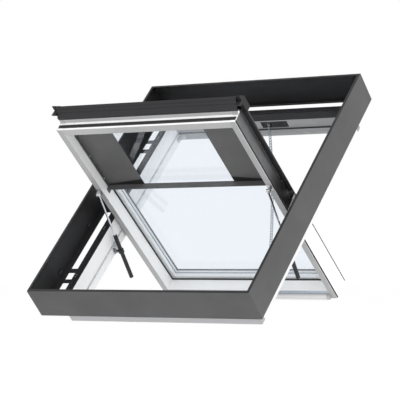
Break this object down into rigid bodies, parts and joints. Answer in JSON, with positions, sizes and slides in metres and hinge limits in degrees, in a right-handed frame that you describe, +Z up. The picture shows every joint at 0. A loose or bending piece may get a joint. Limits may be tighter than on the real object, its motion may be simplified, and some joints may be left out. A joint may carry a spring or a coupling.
{
  "type": "roof skylight",
  "caption": "Centre-pivot roof window standing open in its own frame, with a sheet-metal wind deflector around it, telescopic side stays and a chain drive.",
  "frame": {"origin": "middle of the seating face of the bottom frame member, where it lies on the roof", "axes": "+Z up, +X along the pivot axis to the right seen from the eaves, +Y horizontal towards the ridge; the roof plane rises 45 degrees towards +Y"},
  "size_m": [1.081, 1.0585, 1.0586],
  "materials": {
    "frame_lacquer": "satin white lacquer over a moulded core",
    "casing_paint": "dark grey powder coat",
    "gasket_rubber": "matt black",
    "deflector_paint": "dark grey powder coat",
    "bright_steel": "zinc plated",
    "pivot_plastic": "matt black moulding",
    "drive_paint": "matt dark coat",
    "chain_steel": "bright pressed links",
    "sash_lacquer": "satin white lacquer over a moulded core",
    "pane_glass": "clear, faint blue",
    "spacer_metal": "mill finish",
    "cladding_paint": "dark grey powder coat",
    "wing_plastic": "matt black moulding",
    "screen_paint": "mid grey satin coat",
    "vent_mesh": "pale filter strip",
    "flap_lacquer": "satin white",
    "flap_plastic": "satin white moulding",
    "stay_dark": "satin black",
    "rod_steel": "bright ground rod"
  },
  "bodies": {
    "frame": {"frame_bottom_member": "frame_lacquer", "frame_top_member": "frame_lacquer", "frame_side_left": "frame_lacquer", "frame_side_right": "frame_lacquer", "casing_top": "casing_paint", "casing_left": "casing_paint", "casing_right": "casing_paint", "frame_gasket": "gasket_rubber", "deflector_bottom": "deflector_paint", "deflector_top": "deflector_paint", "deflector_left": "deflector_paint", "deflector_right": "deflector_paint", "side_flange_left": "deflector_paint", "side_flange_right": "deflector_paint", "end_straps": "deflector_paint", "strap_screws": "bright_steel", "strap_rivets": "deflector_paint", "corner_plates": "deflector_paint", "pivot_housing_left": "pivot_plastic", "pivot_housing_right": "pivot_plastic", "stay_brackets": "bright_steel", "bracket_screws": "bright_steel", "drive_housing": "drive_paint", "drive_end_caps": "pivot_plastic", "drive_nozzle": "bright_steel", "push_chain": "chain_steel", "frame_corner_angles": "bright_steel"},
    "sash": {"sash_bottom_rail": "sash_lacquer", "sash_top_rail": "sash_lacquer", "sash_stile_left": "sash_lacquer", "sash_stile_right": "sash_lacquer", "pane_outer": "pane_glass", "pane_inner": "pane_glass", "pane_spacer": "spacer_metal", "pane_seal": "gasket_rubber", "glazing_gasket": "gasket_rubber", "sash_gasket": "gasket_rubber", "cladding_left": "cladding_paint", "cladding_right": "cladding_paint", "cladding_top": "cladding_paint", "drip_wing": "cladding_paint", "wing_cap_left": "wing_plastic", "wing_cap_right": "wing_plastic", "side_wings": "cladding_paint", "pivot_pins": "bright_steel", "screen_left": "screen_paint", "screen_right": "screen_paint", "screen_bar": "screen_paint", "screen_screws": "bright_steel", "rod_brackets": "bright_steel", "chain_bracket": "bright_steel", "vent_strip": "vent_mesh"},
    "vent_flap": {"vent_flap": "flap_lacquer", "flap_caps": "flap_plastic"},
    "stay_collar_left": {"stay_collar_left": "stay_dark"},
    "stay_tube_left": {"stay_tube_left": "stay_dark"},
    "stay_rod_left": {"stay_rod_left": "rod_steel"},
    "stay_collar_right": {"stay_collar_right": "stay_dark"},
    "stay_tube_right": {"stay_tube_right": "stay_dark"},
    "stay_rod_right": {"stay_rod_right": "rod_steel"}
  },
  "joints": [
    {"name": "sash_pivot", "type": "hinge", "parent": "frame", "child": "sash", "pos_m": [0, 0.30901, 0.50346], "axis": [1, 0, 0], "range_deg": [0, 85], "deforming": ["push_chain"]},
    {"name": "vent_flap_hinge", "type": "hinge", "parent": "sash", "child": "vent_flap", "pos_m": [0, 0.65106, 0.0987], "axis": [-1, 0, 0], "range_deg": [0, 35]},
    {"name": "stay_swivel_left", "type": "hinge", "parent": "frame", "child": "stay_collar_left", "pos_m": [-0.421, 0.28249, 0.28815], "axis": [1, 0, 0], "range_deg": [-0.1, 30.1]},
    {"name": "stay_tube_slide_left", "type": "slide", "parent": "stay_collar_left", "child": "stay_tube_left", "axis": [0, -0.5766, 0.8171], "range_m": [-0.0682, 0.0002]},
    {"name": "stay_rod_slide_left", "type": "slide", "parent": "stay_tube_left", "child": "stay_rod_left", "axis": [0, -0.5766, 0.8171], "range_m": [-0.1971, 0.0002]},
    {"name": "stay_swivel_right", "type": "hinge", "parent": "frame", "child": "stay_collar_right", "pos_m": [0.421, 0.28249, 0.28815], "axis": [1, 0, 0], "range_deg": [-0.1, 30.1]},
    {"name": "stay_tube_slide_right", "type": "slide", "parent": "stay_collar_right", "child": "stay_tube_right", "axis": [0, -0.5766, 0.8171], "range_m": [-0.0682, 0.0002]},
    {"name": "stay_rod_slide_right", "type": "slide", "parent": "stay_tube_right", "child": "stay_rod_right", "axis": [0, -0.5766, 0.8171], "range_m": [-0.1971, 0.0002]}
  ],
  "couplings": [
    {"joint": "stay_swivel_left", "follows": "sash_pivot", "ratio": 0.35294},
    {"joint": "stay_tube_slide_left", "follows": "sash_pivot", "m_per_rad": -0.045837},
    {"joint": "stay_rod_slide_left", "follows": "sash_pivot", "m_per_rad": -0.13268},
    {"joint": "stay_swivel_right", "follows": "sash_pivot", "ratio": 0.35294},
    {"joint": "stay_tube_slide_right", "follows": "sash_pivot", "m_per_rad": -0.045837},
    {"joint": "stay_rod_slide_right", "follows": "sash_pivot", "m_per_rad": -0.13268}
  ]
}
